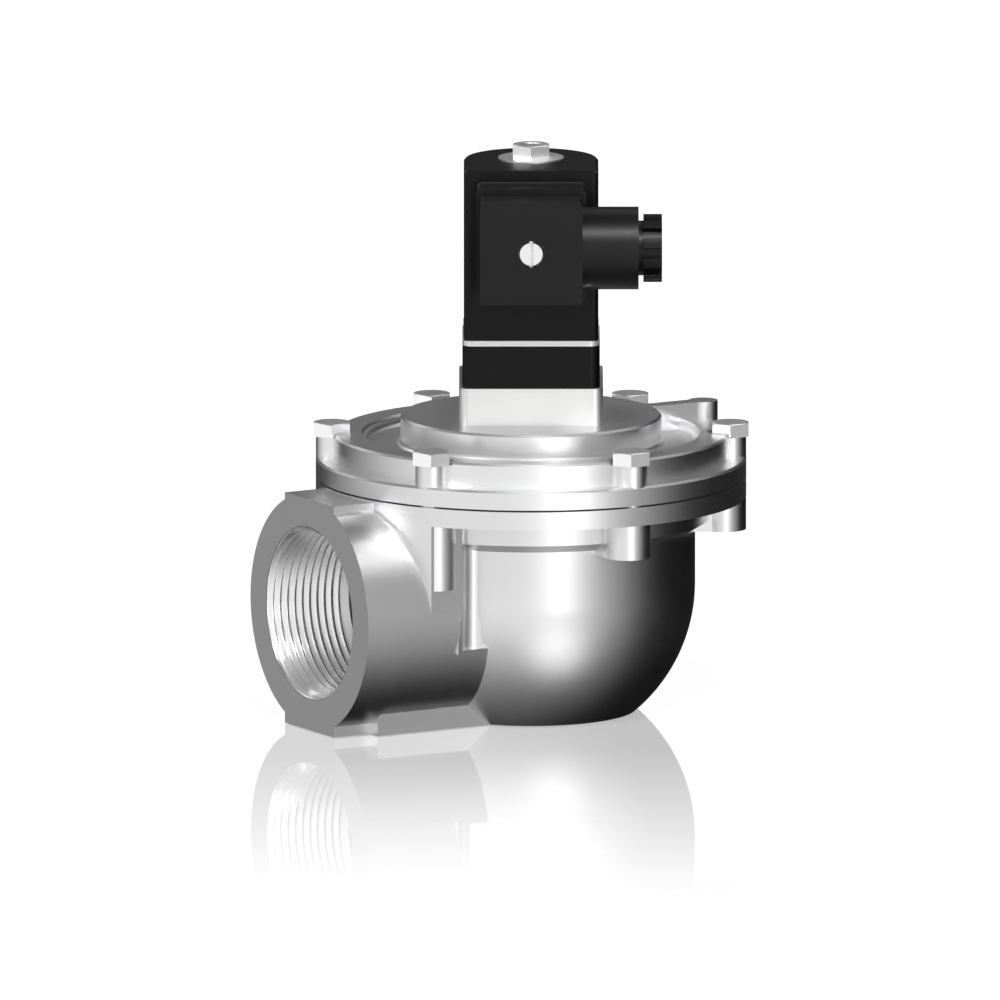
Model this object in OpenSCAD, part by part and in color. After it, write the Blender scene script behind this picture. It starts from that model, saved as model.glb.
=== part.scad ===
// Right-angle diaphragm pulse valve with an integral solenoid pilot.
// The frame's origin is the centre of the outlet mouth. +Z is the diaphragm axis
// and points up, and the inlet opens towards -X.

/* [Ports] */
// Outside diameter of the pipe thread that both ports take
port_thread_d = 47.8; // [44:0.1:49]
// Depth of the threaded part of each port
port_thread_len = 22; // [17:0.5:24]
// Distance from the diaphragm axis to the inlet face
inlet_reach = 70; // [66:0.5:80]
// Outside diameter of the inlet collar, which also sets the height of the inlet axis
inlet_od = 65; // [62:0.5:68]
// Length of the collar at the inlet mouth
collar_len = 11.5; // [6:0.5:14]
// Step in radius from the collar down to the pipe behind it
collar_step = 0.7; // [0.3:0.1:1.5]
// Width of the flats on the top and bottom of the collar
flat_w = 27; // [22:0.5:31]
// Step from the body's flange face down to the inlet's top flat
flat_drop = 0.5; // [0.3:0.1:2]
// Width of the foot that runs under the inlet pipe
foot_w = 35; // [31:0.5:40]
// Diameter of the passage behind the inlet thread
passage_d = 44; // [38:0.5:45]

/* [Body] */
// Height of the body's flange face above the base
body_h = 64.5; // [62:0.5:72]
// Outside diameter of the bowl
bowl_d = 90; // [86:0.5:94]
// Radius of the bowl's rounded lower part
bowl_round_r = 46; // [42:0.5:50]
// Height at which the bowl starts to round in
bowl_round_z = 35; // [33:0.5:38]
// Thickness of the bowl's wall
bowl_wall = 4.5; // [3.5:0.1:5.5]
// Height of the chamber's floor above the base
floor_z = 10; // [8:0.5:14]
// Outside diameter of both flanges
flange_d = 118; // [115:0.2:120]
// Thickness of the body's flange
flange_h = 5.1; // [4:0.1:7]
// Outside diameter of the stiffening ring under the flange
neck_ring_d = 98; // [95:0.5:100]
// Depth of the stiffening ring
neck_ring_h = 6; // [4:0.1:8]
// Height of the slope under the stiffening ring
neck_slope_h = 2.4; // [1:0.1:4]
// Width across the straight walls over the inlet
shoulder_w = 63.4; // [56:0.2:63.4]
// Distance from the axis to the end of those walls
shoulder_x = 40; // [38:0.5:43]
// Radius of the casting fillet where the shoulder meets the bowl
shoulder_fillet = 4; // [3:0.1:5]
// Height above the base at which that fillet ends
fillet_end_z = 24; // [20:0.5:30]

/* [Seat] */
// Bore of the throat under the diaphragm
throat_d = 41; // [34:0.5:42]
// Thickness of the seat tube's wall
seat_wall = 3; // [2.2:0.1:3.5]
// Depth of the seat below the body's flange face
seat_drop = 6; // [5.5:0.1:7]

/* [Cover] */
// Gap that the clamped membrane leaves between the two flanges
split_gap = 0.5; // [0.3:0.1:1]
// Thickness of the cover's rim
cover_rim_h = 5.2; // [4:0.1:7]
// Outside diameter of the cover's raised ring
cover_ring_d = 108; // [106:0.2:110]
// Inside diameter of the cover's raised ring
cover_ring_id = 91.6; // [86:0.2:94]
// Height of the raised ring above the rim
cover_ring_h = 6.6; // [5.5:0.1:8]
// Depth of the annular groove inside the raised ring
groove_depth = 2.8; // [2:0.1:3.2]
// Diameter of the cover's central disc
disc_d = 71.5; // [68:0.5:76]
// Height of the central disc above the raised ring
disc_rise = 5; // [4.6:0.1:7]
// Diameter of the diaphragm chamber under the cover
chamber_d = 80; // [78:0.2:81]
// Room between the lifted diaphragm's plate and the chamber's roof
roof_room = 4.3; // [4:0.1:4.6]
// Width of the vent rib behind the disc
rib_w = 4.9; // [4:0.1:6]
// Diameter of the round end of the vent rib
rib_end_d = 8; // [7:0.1:8.6]
// Step from the disc's top down to the rib's top
rib_drop = 0.8; // [0.2:0.1:1]

/* [Cover bolts] */
// Number of cover bolts
bolt_count = 6; // [6:1:6]
// Diameter of the bolt circle
bolt_circle_d = 109.2; // [108:0.2:109.4]
// Diameter of the bosses under the body's flange
boss_d = 12.8; // [12:0.1:13]
// Diameter of the small bosses on the cover's rim
cover_boss_d = 8.7; // [8:0.1:8.8]
// Depth of the bolt heads' seats below the cover's raised ring
seat_cut = 0.9; // [0.5:0.1:1.5]
// Width of the webs that join the bosses to the bowl
boss_web_w = 11.4; // [9:0.1:12]
// Depth of the plain bosses below the body's flange
boss_h = 9.5; // [7:0.5:12]
// Depth of the two bosses that stand on the inlet's shoulder
long_boss_h = 18; // [14:0.5:20]
// Shank diameter of the cover bolts
bolt_d = 6; // [5:0.1:6.5]
// Width across the flats of the bolt heads
bolt_af = 10; // [9:0.1:11]
// Height of the bolt heads
bolt_head_h = 3.7; // [3.5:0.1:5]

/* [Diaphragm] */
// Thickness of the membrane
membrane_t = 2.2; // [1.8:0.1:2.6]
// Outside diameter of the membrane
membrane_d = 95.6; // [94:0.2:96.6]
// Height of the membrane's rolled convolution
roll_h = 3.2; // [2:0.1:3.6]
// Diameter of the valve disc that closes on the seat
valve_disc_d = 51; // [49:0.5:53]
// Thickness of the valve disc
valve_disc_t = 2.5; // [2:0.1:3]
// Diameter of the plate above the membrane
top_plate_d = 49; // [44:0.5:50]
// Thickness of the plate above the membrane
top_plate_t = 1.5; // [1:0.1:1.8]
// Diameter of the centre rivet's shank
rivet_d = 6; // [5:0.1:8]
// Diameter of the bleed hole through the membrane
bleed_d = 1.6; // [1:0.1:2.5]
// How far the diaphragm lifts off its seat
lift = 7.5; // [6:0.1:8]
// Wire diameter of the diaphragm spring
main_wire_d = 1.2; // [1:0.1:1.3]
// Mean diameter of the diaphragm spring
main_spring_d = 22; // [18:0.5:28]

/* [Pilot] */
// Angle of the pilot and coil about the diaphragm axis
pilot_angle = -30; // [-60:5:0]
// Width of the square pilot base
base_w = 39.4; // [38.6:0.1:42]
// Height of the pilot base
base_h = 10.2; // [9:0.1:13]
// Corner radius of the pilot base and clamp block
corner_r = 2.6; // [1.5:0.1:3.5]
// Width of the square clamp block
clamp_w = 37.6; // [37:0.1:39]
// Height of the clamp block
clamp_h = 11.6; // [9:0.1:14]
// Distance between the centres of neighbouring clamp screws
clamp_screw_pitch = 27.4; // [26.8:0.1:28]
// Shank diameter of the clamp screws
clamp_screw_d = 4; // [3:0.1:4.2]
// Diameter of the clamp screw heads
clamp_head_d = 7; // [6:0.1:7.2]
// Height of the clamp screw heads
clamp_head_h = 4; // [3:0.1:4.5]
// Bore of the pilot orifice
orifice_d = 2.4; // [1.6:0.1:2.8]
// Diameter of the pilot cavity around the orifice
pilot_cavity_d = 16.4; // [15.6:0.1:17]
// Bore of the exhaust drilled through the rib
vent_d = 2.2; // [1.6:0.1:2.3]

/* [Armature] */
// Diameter of the plunger
plunger_d = 12.8; // [11:0.1:13]
// Length of the plunger
plunger_len = 34; // [28:0.5:38]
// Radial clearance between the plunger and its guide tube
plunger_gap = 0.1; // [0.05:0.01:0.2]
// How far the plunger lifts off the pilot orifice
plunger_lift = 1.8; // [1:0.1:1.9]
// Air gap that the lifted plunger leaves below the fixed core
core_gap = 0.2; // [0.1:0.1:0.5]
// Wall thickness of the guide tube
tube_wall = 0.45; // [0.3:0.05:0.6]
// Diameter of the guide tube's clamped flange
tube_flange_d = 24; // [23:0.1:25]
// Thickness of the guide tube's clamped flange
tube_flange_h = 3.5; // [2.5:0.1:4.5]
// Diameter of the threaded stud on top of the fixed core
stud_d = 6; // [5:0.1:6.5]
// Wire diameter of the plunger spring
plunger_wire_d = 0.6; // [0.4:0.05:0.7]

/* [Coil] */
// Width of the coil, which is also the diameter of its round back
coil_w = 36.8; // [36.4:0.1:39]
// Height of the coil above its yoke plate
coil_h = 47.1; // [45:0.1:52]
// Distance from the axis to the coil's flat front
coil_front = 21.5; // [20:0.1:25]
// Radial clearance between the coil and the guide tube that it turns on
coil_gap = 0.1; // [0.05:0.01:0.3]
// Radius of the coil's front corners
coil_corner_r = 1.6; // [0.8:0.1:3]
// Width of the square yoke plate under the coil
yoke_w = 37.2; // [36.9:0.1:38.4]
// Thickness of the yoke plate
yoke_h = 2; // [1.5:0.1:3]
// Width across the flats of the nut that holds the coil
coil_nut_af = 10; // [9:0.1:13]
// Height of the nut that holds the coil
coil_nut_h = 3; // [2.5:0.1:5]
// Outside diameter of the dished washer under that nut
coil_washer_d = 18; // [15:0.5:20]

/* [Plug] */
// Width of the plug's front
plug_w = 28; // [27:0.1:29]
// Height of the plug's front
plug_h = 28; // [27:0.1:30]
// Length of the plug's narrow front part
plug_len = 15.5; // [15:0.1:20]
// Width of the plug's skirt, the gasket and the coil's terminal pad
skirt_w = 30.1; // [29.4:0.1:32]
// Height of the plug's skirt, the gasket and the coil's terminal pad
skirt_h = 31; // [30.4:0.1:32]
// Length of the plug's skirt
skirt_len = 10.5; // [9:0.1:13]
// Thickness of the plug's gasket
gasket_t = 1.5; // [1:0.1:2.5]
// How far the terminal pad stands out of the coil
pad_len = 3; // [2:0.1:5]
// Height of the plug's centre above the yoke plate
plug_rise = 29; // [28:0.1:30.5]
// Thickness of the plug's walls
plug_wall = 1.8; // [1.4:0.1:2.2]
// Diameter of the plug screw's head
plug_screw_head_d = 7.2; // [6:0.1:8]

/* [Gland] */
// Outside diameter of the gland's socket
gland_d = 22.6; // [21:0.1:23.5]
// Distance from the coil's axis to the end of the gland's socket
gland_reach = 29.3; // [28:0.1:32]
// Diameter of the gland screw's ribbed head
gland_head_d = 18.6; // [17:0.1:21]
// Length of the gland screw's ribbed head
gland_head_len = 5.1; // [4:0.1:8]
// Number of ribs on the gland screw's head
gland_ribs = 10; // [8:1:14]
// Bore of the gland screw, which the cable passes through
cable_bore_d = 9; // [7:0.1:10]

/* [Hidden] */

$fn = 96;
eps = 0.01;
// Radial clearance between a fastener and its hole
hole_gap = 0.1;
// Clearance between pieces that are assembled into each other
seat_gap = 0.1;
edge = 0.6;

port_r = port_thread_d / 2;
inlet_r = inlet_od / 2;
pipe_r = inlet_r - collar_step;
bowl_r = bowl_d / 2;
bowl_round_x = bowl_r - bowl_round_r;
flange_r = flange_d / 2;
neck_ring_r = neck_ring_d / 2;
flange_bottom = body_h - flange_h;
seat_z = body_h - seat_drop;
throat_r = throat_d / 2;
seat_r = throat_r + seat_wall;
port_step_h = 3;
port_wall = 4.5;
bolt_r = bolt_circle_d / 2;
boss_r = boss_d / 2;
// The bosses' distance from the axis keeps them just inside the flange's edge
boss_x = flange_r - boss_r - 0.05;

// Membrane rim: it stands in a recess of the body and carries the cover
rim_proud = split_gap;
recess_z = body_h + split_gap - membrane_t;
recess_r = membrane_d / 2 + 0.2;
cover_z = body_h + rim_proud;
rim_top = cover_z + cover_rim_h;
ring_top = rim_top + cover_ring_h;
groove_z = ring_top - groove_depth;
disc_top = ring_top + disc_rise;
disc_r = disc_d / 2;
low_roof_z = groove_z - 3.8;
boss_top = ring_top - seat_cut;
rib_top = disc_top - rib_drop;

// Diaphragm stack, from the seat upwards
disc_z = seat_z;
centre_z = disc_z + valve_disc_t;
plate_z = centre_z + membrane_t;
plate_top = plate_z + top_plate_t;
roof_z = plate_top + lift + roof_room;
rivet_head_r = rivet_d / 2 + 3;
rivet_head_h = 1.7;

// Pilot stack, from the cover's disc upwards
pilot_floor = disc_top - 3.5;
nozzle_top = disc_top + 2.2;
nozzle_r = orifice_d / 2 + 1.1;
base_z = disc_top;
clamp_z = base_z + base_h;
yoke_z = clamp_z + clamp_h;
coil_z = yoke_z + yoke_h;
coil_top = coil_z + coil_h;
flange_seat_z = clamp_z - tube_flange_h;
seal_groove = 1.5;

tube_ir = plunger_d / 2 + plunger_gap;
tube_r = tube_ir + tube_wall;
plunger_z = nozzle_top + 0.4;
plunger_top = plunger_z + plunger_len;
core_z = plunger_top + plunger_lift + core_gap;
tube_top = coil_top - 2.5;
stud_short = 0.3;
washer_rise = 0.4;
washer_t = 0.6;
nut_z = coil_top + washer_rise + washer_t;
spring_bore_r = 3.2;
spring_bore_len = 12;

coil_r = coil_w / 2;
coil_bore_r = tube_r + coil_gap;
can_r = coil_r - 2.6;
can_t = 1;
can_z = coil_z + 1.6;
can_top = coil_top - 2;
bobbin_t = 1;
pad_front = coil_front + pad_len;
gasket_front = pad_front + gasket_t;
skirt_front = gasket_front + skirt_len;
plug_front = skirt_front + plug_len;
plug_z = coil_z + plug_rise;
block_len = 12;
blade_root = 4;
blade_w = 6.3;
blade_t = 0.8;
blade_len = 10;
blade_ring = 9;
gland_r = gland_d / 2;
gland_y = -(plug_front - gland_r);
gland_bore_r = 7.6;
gland_stop = plug_w / 2 + 4;
grommet_len = 4;
gland_washer_t = 1;
cable_bore_r = cable_bore_d / 2;
gland_head_gap = 1.3;

// Points of an arc about c, from angle a0 to angle a1 in n steps
function arc(c, r, a0, a1, n) =
    [for (i = [0:n]) c + r * [cos(a0 + (a1 - a0) * i / n), sin(a0 + (a1 - a0) * i / n)]];

// Straight outline of a square with rounded corners, made of true arcs
module rounded_square(w, d, r) {
    square([w - 2 * r, d], center = true);
    square([w, d - 2 * r], center = true);
    for (x = [-1, 1], y = [-1, 1])
        translate([x * (w / 2 - r), y * (d / 2 - r)]) circle(r);
}

module ring_2d(r_out, r_in) {
    difference() {
        circle(r_out);
        circle(r_in);
    }
}

module tube(h, r_out, r_in) {
    linear_extrude(h) ring_2d(r_out, r_in);
}

module o_ring(mean_r, wire_r) {
    rotate_extrude() translate([mean_r, 0]) circle(wire_r, $fn = 24);
}

module at_bolts() {
    for (i = [0:bolt_count - 1])
        rotate(30 + i * 360 / bolt_count) translate([bolt_r, 0, 0]) children();
}

// Turns children from the coil's own frame, front towards -Y, to its place
module on_pilot(z = 0) {
    rotate(pilot_angle) translate([0, 0, z]) children();
}

module at_clamp_screws() {
    for (x = [-1, 1], y = [-1, 1])
        translate([x, y, 0] * clamp_screw_pitch / 2) children();
}

// Points a piece modelled along +Z towards -Y
module facing_front(y, z) {
    translate([0, y, z]) rotate([90, 0, 0]) children();
}

// Points a piece modelled along +Z along the gland
module along_gland(x) {
    translate([x, gland_y, plug_z]) rotate([0, 90, 0]) children();
}

// Round wire wound about +Z from z0 to z1
module coil_spring(z0, z1, mean_r, wire_r, turns) {
    sides = 8;
    per_turn = 18;
    n = ceil(turns * per_turn);
    pitch = (z1 - z0 - 2 * wire_r) / turns;
    tilt = atan2(pitch, 360 * mean_r * PI / 180);
    function ring(i) =
        let (a = i * 360 / per_turn, z = z0 + wire_r + pitch * i / per_turn)
        [for (j = [0:sides - 1])
            let (b = j * 360 / sides, u = wire_r * cos(b), v = wire_r * sin(b))
            [(mean_r + u) * cos(a) + v * sin(tilt) * sin(a),
             (mean_r + u) * sin(a) - v * sin(tilt) * cos(a),
             z + v * cos(tilt)]];
    last = floor(turns * per_turn);
    points = [for (i = [0:last]) each ring(i)];
    skin = [for (i = [0:last - 1], j = [0:sides - 1])
        [i * sides + j, (i + 1) * sides + j,
         (i + 1) * sides + (j + 1) % sides, i * sides + (j + 1) % sides]];
    ends = [[for (j = [0:sides - 1]) j],
            [for (j = [sides - 1:-1:0]) last * sides + j]];
    polyhedron(points, concat(skin, ends), convexity = 10);
}

// Outer outline of the bowl, neck ring and flange, revolved
module bowl_outline() {
    intersection() {
        translate([bowl_round_x, bowl_round_z]) circle(bowl_round_r, $fn = 128);
        square([bowl_r, bowl_round_z]);
    }
    translate([0, bowl_round_z]) square([bowl_r, body_h - bowl_round_z]);
    ring_bottom = flange_bottom - neck_ring_h;
    slope_bottom = ring_bottom - neck_slope_h;
    polygon([
        [0, slope_bottom], [bowl_r, slope_bottom],
        [neck_ring_r, ring_bottom], [neck_ring_r, body_h], [0, body_h]
    ]);
    translate([0, flange_bottom]) square([flange_r, flange_h]);
}

// Chamber between the bowl's wall and the seat tube
module chamber_outline() {
    difference() {
        union() {
            intersection() {
                translate([bowl_round_x, bowl_round_z])
                    circle(bowl_round_r - bowl_wall, $fn = 128);
                translate([0, floor_z]) square([bowl_r, bowl_round_z - floor_z]);
            }
            translate([0, bowl_round_z])
                square([bowl_r - bowl_wall, body_h - bowl_round_z + 1]);
        }
        tube_outline();
    }
}

// Outside of the outlet socket and the seat tube above it
module tube_outline() {
    socket_top = port_thread_len + port_step_h;
    socket_r = port_r + port_wall;
    lip = 0.8;
    polygon([
        [0, 0], [socket_r, 0], [socket_r, socket_top],
        [seat_r, socket_top + socket_r - seat_r], [seat_r, seat_z - lip],
        [seat_r - lip, seat_z], [0, seat_z]
    ]);
}

// One port cut out of the body: the mouth is at the origin and opens towards -Z
module port_cut(bore_d, depth) {
    rotate_extrude() polygon([
        [0, -1], [port_r, -1], [port_r, port_thread_len],
        [bore_d / 2, port_thread_len + port_step_h],
        [bore_d / 2, depth], [0, depth]
    ]);
}

// Bosses that take the cover bolts, each with a web back to the bowl
module body_bosses() {
    for (i = [0:bolt_count - 1]) {
        angle = 30 + i * 360 / bolt_count;
        h = cos(angle) < -0.5 ? long_boss_h : boss_h;
        rotate(angle) translate([0, 0, flange_bottom - h]) {
            translate([boss_x, 0, 0]) cylinder(h = h + 1, r = boss_r, $fn = 48);
            translate([bowl_r - bowl_wall / 2, -boss_web_w / 2, 0])
                cube([boss_x - bowl_r + bowl_wall / 2, boss_web_w, h + 1]);
        }
    }
}

// Straight walls that rise from the inlet pipe to the flange
module shoulder() {
    translate([0, 0, inlet_r]) linear_extrude(body_h - inlet_r)
        intersection() {
            circle(flange_r);
            translate([-flange_r, -shoulder_w / 2])
                square([flange_r - shoulder_x, shoulder_w]);
        }
    for (side = [-1, 1])
        translate([0, 0, fillet_end_z - 1])
            linear_extrude(flange_bottom + 2 - fillet_end_z)
                mirror([0, side < 0 ? 1 : 0]) shoulder_fillet_2d();
}

// Casting fillet from the shoulder's corner to the bowl, which it just bites into
module shoulder_fillet_2d() {
    bite = 0.1;
    reach = bowl_r + shoulder_fillet - bite;
    corner = [-shoulder_x, shoulder_w / 2 - 2 * bite];
    corner_d = norm(corner);
    bend = acos((corner_d * corner_d + reach * reach - shoulder_fillet * shoulder_fillet)
        / (2 * corner_d * reach));
    turn = atan2(corner[1], corner[0]) - bend;
    difference() {
        polygon([[0, 0], bowl_r * [cos(turn), sin(turn)], corner - [1, bite],
            [-shoulder_x - 1, 0]]);
        translate(reach * [cos(turn), sin(turn)]) circle(shoulder_fillet);
    }
}

// Pipe to the inlet, with its collar, its flats and the foot that it stands on. Behind
// the shoulder only its lower part goes on, and the casting fillets lead to the bowl
module inlet_pipe() {
    near_len = inlet_reach - shoulder_x - 0.5;
    far_len = shoulder_x + 0.5 - bowl_r / 2;
    overlap = 1;
    difference() {
        union() {
            translate([-inlet_reach, 0, inlet_r]) rotate([0, 90, 0]) {
                cylinder(h = collar_len, r = inlet_r);
                cylinder(h = near_len, r = pipe_r);
            }
            translate([-inlet_reach, -flat_w / 2, 0])
                cube([near_len, flat_w, inlet_od]);
            translate([-inlet_reach + collar_len, -foot_w / 2, 0])
                cube([near_len - collar_len, foot_w, inlet_r]);
        }
        translate([-inlet_reach - 1, -inlet_r, body_h - flat_drop])
            cube([near_len + 2, inlet_od, inlet_r]);
    }
    translate([-shoulder_x - 0.5 - overlap, 0, inlet_r]) rotate([90, 0, 90])
        linear_extrude(far_len + overlap) low_pipe_2d();
}

// Section of the pipe behind the shoulder
module low_pipe_2d() {
    step = 0.1;
    intersection() {
        circle(pipe_r - step);
        translate([-inlet_r, -inlet_r]) square([inlet_od, fillet_end_z]);
    }
    translate([-foot_w / 2, -inlet_r]) square([foot_w, fillet_end_z]);
}

module valve_body() {
    color("#c9cacb") difference() {
        union() {
            rotate_extrude() bowl_outline();
            inlet_pipe();
            shoulder();
            body_bosses();
        }
        rotate_extrude() chamber_outline();
        translate([-inlet_reach, 0, inlet_r]) rotate([0, 90, 0])
            port_cut(passage_d, inlet_reach - inlet_stop);
        port_cut(throat_d, seat_z + 1);
        translate([0, 0, recess_z]) cylinder(h = membrane_t, r = recess_r);
        at_bolts() translate([0, 0, flange_bottom - boss_h + 1.5])
            cylinder(h = boss_h + flange_h, r = bolt_d / 2 + hole_gap, $fn = 32);
    }
}

// The inlet passage stops in the chamber, short of the outlet's socket
inlet_stop = port_r + port_wall + 3;

// Section of the cover's outside
module cover_outline() {
    ring_r = cover_ring_d / 2;
    groove_r = cover_ring_id / 2;
    fillet = 1.5;
    polygon(concat(
        [[0, cover_z], [flange_r, cover_z], [flange_r, rim_top - edge],
         [flange_r - edge, rim_top], [ring_r, rim_top], [ring_r, ring_top - edge],
         [ring_r - edge, ring_top], [groove_r + edge, ring_top],
         [groove_r, ring_top - edge]],
        arc([groove_r - fillet, groove_z + fillet], fillet, 0, -90, 5),
        arc([disc_r + fillet, groove_z + fillet], fillet, -90, -180, 5),
        [[disc_r, disc_top - edge], [disc_r - edge, disc_top], [0, disc_top]]
    ));
}

// Section of the diaphragm chamber under the cover
module cover_chamber() {
    chamber_r = chamber_d / 2;
    crown_r = top_plate_d / 2 + 1.5;
    slope = roof_z - low_roof_z;
    polygon([
        [0, cover_z - 1], [chamber_r, cover_z - 1],
        [chamber_r, low_roof_z - 1.2], [chamber_r - 1.2, low_roof_z],
        [crown_r + slope, low_roof_z], [crown_r, roof_z], [0, roof_z]
    ]);
}

module vent_rib() {
    translate([disc_r - 2, -rib_w / 2, groove_z - 1])
        cube([bolt_r - disc_r + 2, rib_w, rib_top - groove_z + 1]);
    translate([bolt_r, 0, rim_top - 1])
        cylinder(h = rib_top - rim_top + 1, d = rib_end_d);
}

// How far the vent dips into the cavity's floor
vent_dip = 0.2;

// Ring cut round the nozzle, down to the floor of the pilot cavity
module pilot_cavity() {
    rotate_extrude() polygon([
        [nozzle_r, pilot_floor], [pilot_cavity_d / 2, pilot_floor],
        [pilot_cavity_d / 2, disc_top + 1], [nozzle_r, disc_top + 1]
    ]);
}

module cover() {
    color("#bfc0c2") difference() {
        union() {
            rotate_extrude() cover_outline();
            at_bolts() translate([0, 0, rim_top - 1])
                cylinder(h = boss_top - rim_top + 1, d = cover_boss_d);
            vent_rib();
            translate([0, 0, roof_z]) cylinder(h = nozzle_top - roof_z, r = nozzle_r);
        }
        rotate_extrude() cover_chamber();
        at_bolts() translate([0, 0, boss_top])
            cylinder(h = 2 * seat_cut, d = bolt_af / cos(30) + 0.8);
        at_bolts() translate([0, 0, cover_z - 1])
            cylinder(h = boss_top - cover_z + 2, r = bolt_d / 2 + hole_gap);
        pilot_cavity();
        translate([nozzle_r + 1, 0, pilot_floor + vent_d / 2 - vent_dip])
            rotate([0, 90, 0]) cylinder(h = flange_r, d = vent_d);
        on_pilot(disc_top - clamp_thread_len) at_clamp_screws()
            cylinder(h = clamp_thread_len + 1, r = clamp_screw_d / 2 + hole_gap);
        cylinder(h = 2 * disc_top, d = orifice_d);
    }
}

// Depth that the clamp screws reach into the cover
clamp_thread_len = 4.2;

module hex_bolt(af, head_h, shank_d, shank_len) {
    crown = 0.5;
    intersection() {
        rotate(30) cylinder(h = head_h, d = af / cos(30), $fn = 6);
        union() {
            cylinder(h = head_h - crown, d = af / cos(30) + 1);
            translate([0, 0, head_h - crown - eps])
                cylinder(h = crown + eps, d1 = af / cos(30) + 0.6, d2 = af - 0.4);
        }
    }
    translate([0, 0, -shank_len]) cylinder(h = shank_len + eps, d = shank_d);
}

module cover_bolts() {
    shank_len = boss_top - (flange_bottom - boss_h) - 4;
    color("#e4e5e7") at_bolts() translate([0, 0, boss_top])
        hex_bolt(bolt_af, bolt_head_h, bolt_d, shank_len);
}

// Radii between which the membrane rolls
roll_in = top_plate_d / 2 + 0.8;
roll_out = chamber_d / 2 - 0.6;
centre_mid = centre_z + membrane_t / 2;
rim_mid = recess_z + membrane_t / 2;

// Height of the membrane's middle surface at the share s of the way across its roll
function roll_z(s) =
    centre_mid + (rim_mid - centre_mid) * s + roll_h * pow(sin(180 * s), 2);

module membrane() {
    n = 16;
    half = membrane_t / 2;
    function at(s, up) = [roll_in + (roll_out - roll_in) * s, roll_z(s) + up];
    lower = [for (i = [0:n]) at(i / n, -half)];
    upper = [for (i = [n:-1:0]) at(i / n, half)];
    color("#2b2b2c") difference() {
        rotate_extrude() polygon(concat(
            [[rivet_d / 2 + 0.05, centre_z]], lower,
            [[membrane_d / 2, recess_z], [membrane_d / 2, cover_z]], upper,
            [[rivet_d / 2 + 0.05, plate_z]]
        ));
        translate([0, -(roll_in + roll_out) / 2, seat_z])
            cylinder(h = roof_z - seat_z, d = bleed_d);
    }
}

module valve_disc() {
    r = valve_disc_d / 2;
    color("#3a3a36") rotate_extrude() polygon([
        [rivet_d / 2 + 0.05, disc_z], [r - edge, disc_z], [r, disc_z + edge],
        [r, centre_z - edge], [r - edge, centre_z], [rivet_d / 2 + 0.05, centre_z]
    ]);
}

module top_plate() {
    r = top_plate_d / 2;
    lip = 1.2;
    color("#b9bcc0") rotate_extrude() polygon([
        [rivet_d / 2 + 0.05, plate_z], [r - 1, plate_z], [r, plate_z + 1],
        [r, plate_top + lip], [r - 0.8, plate_top + lip],
        [r - 1.6, plate_top], [rivet_d / 2 + 0.05, plate_top]
    ]);
}

module centre_rivet() {
    r = rivet_d / 2;
    color("#a9abad") rotate_extrude() polygon([
        [0, disc_z - rivet_head_h], [rivet_head_r - 0.8, disc_z - rivet_head_h],
        [rivet_head_r, disc_z - rivet_head_h + 0.8], [rivet_head_r, disc_z],
        [r, disc_z], [r, plate_top], [rivet_head_r - 0.5, plate_top],
        [rivet_head_r - 0.5, plate_top + 0.7],
        [rivet_head_r - 1.3, plate_top + rivet_head_h - 0.2],
        [0, plate_top + rivet_head_h - 0.2]
    ]);
}

module main_spring() {
    color("#8f9296")
        coil_spring(plate_top + 0.02, roof_z - 0.02, main_spring_d / 2,
            main_wire_d / 2, 2.5);
}

module pilot_base() {
    cavity_r = pilot_cavity_d / 2;
    groove = seal_groove / 2;
    color("#e8e8e6") on_pilot() difference() {
        translate([0, 0, base_z]) linear_extrude(base_h)
            rounded_square(base_w, base_w, corner_r);
        translate([0, 0, base_z - 1])
            cylinder(h = base_h + 2, r = cavity_r);
        translate([0, 0, flange_seat_z])
            cylinder(h = base_h, r = tube_flange_d / 2 + seat_gap);
        translate([0, 0, base_z - eps])
            tube(seal_groove + eps, base_seal_r + groove, base_seal_r - groove);
        translate([0, 0, flange_seat_z - seal_groove])
            tube(seal_groove + 1, tube_seal_r + groove, tube_seal_r - groove);
        at_clamp_screws() translate([0, 0, base_z - 1])
            cylinder(h = base_h + 2, r = clamp_screw_d / 2 + hole_gap);
    }
}

// Mean radii of the two face seals
base_seal_r = pilot_cavity_d / 2 + 3;
tube_seal_r = pilot_cavity_d / 2 + 1.8;

module base_seal() {
    color("#1c1c1c") translate([0, 0, base_z + seal_groove / 2])
        o_ring(base_seal_r, seal_groove / 2);
}

module tube_seal() {
    color("#1c1c1c") translate([0, 0, flange_seat_z - seal_groove / 2])
        o_ring(tube_seal_r, seal_groove / 2);
}

module clamp_block() {
    color("#1b1c1e") on_pilot() difference() {
        translate([0, 0, clamp_z]) linear_extrude(clamp_h)
            rounded_square(clamp_w, clamp_w, corner_r);
        translate([0, 0, clamp_z - 1]) cylinder(h = clamp_h + 2, r = tube_r + 0.4);
        at_clamp_screws() translate([0, 0, clamp_z - 1])
            cylinder(h = clamp_h + 2, r = clamp_screw_d / 2 + hole_gap);
        at_clamp_screws() translate([0, 0, yoke_z - clamp_head_h - 0.5])
            cylinder(h = clamp_head_h + 1, r = clamp_head_d / 2 + hole_gap);
    }
}

module clamp_screws() {
    head_z = yoke_z - clamp_head_h - 0.5;
    shank = head_z - disc_top + clamp_thread_len - 0.3;
    socket_af = clamp_screw_d * 0.75;
    color("#4a4c50") on_pilot(head_z) at_clamp_screws() difference() {
        union() {
            cylinder(h = clamp_head_h, d = clamp_head_d);
            translate([0, 0, -shank]) cylinder(h = shank + eps, d = clamp_screw_d);
        }
        translate([0, 0, clamp_head_h / 2])
            cylinder(h = clamp_head_h, d = socket_af / cos(30), $fn = 6);
    }
}

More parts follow.
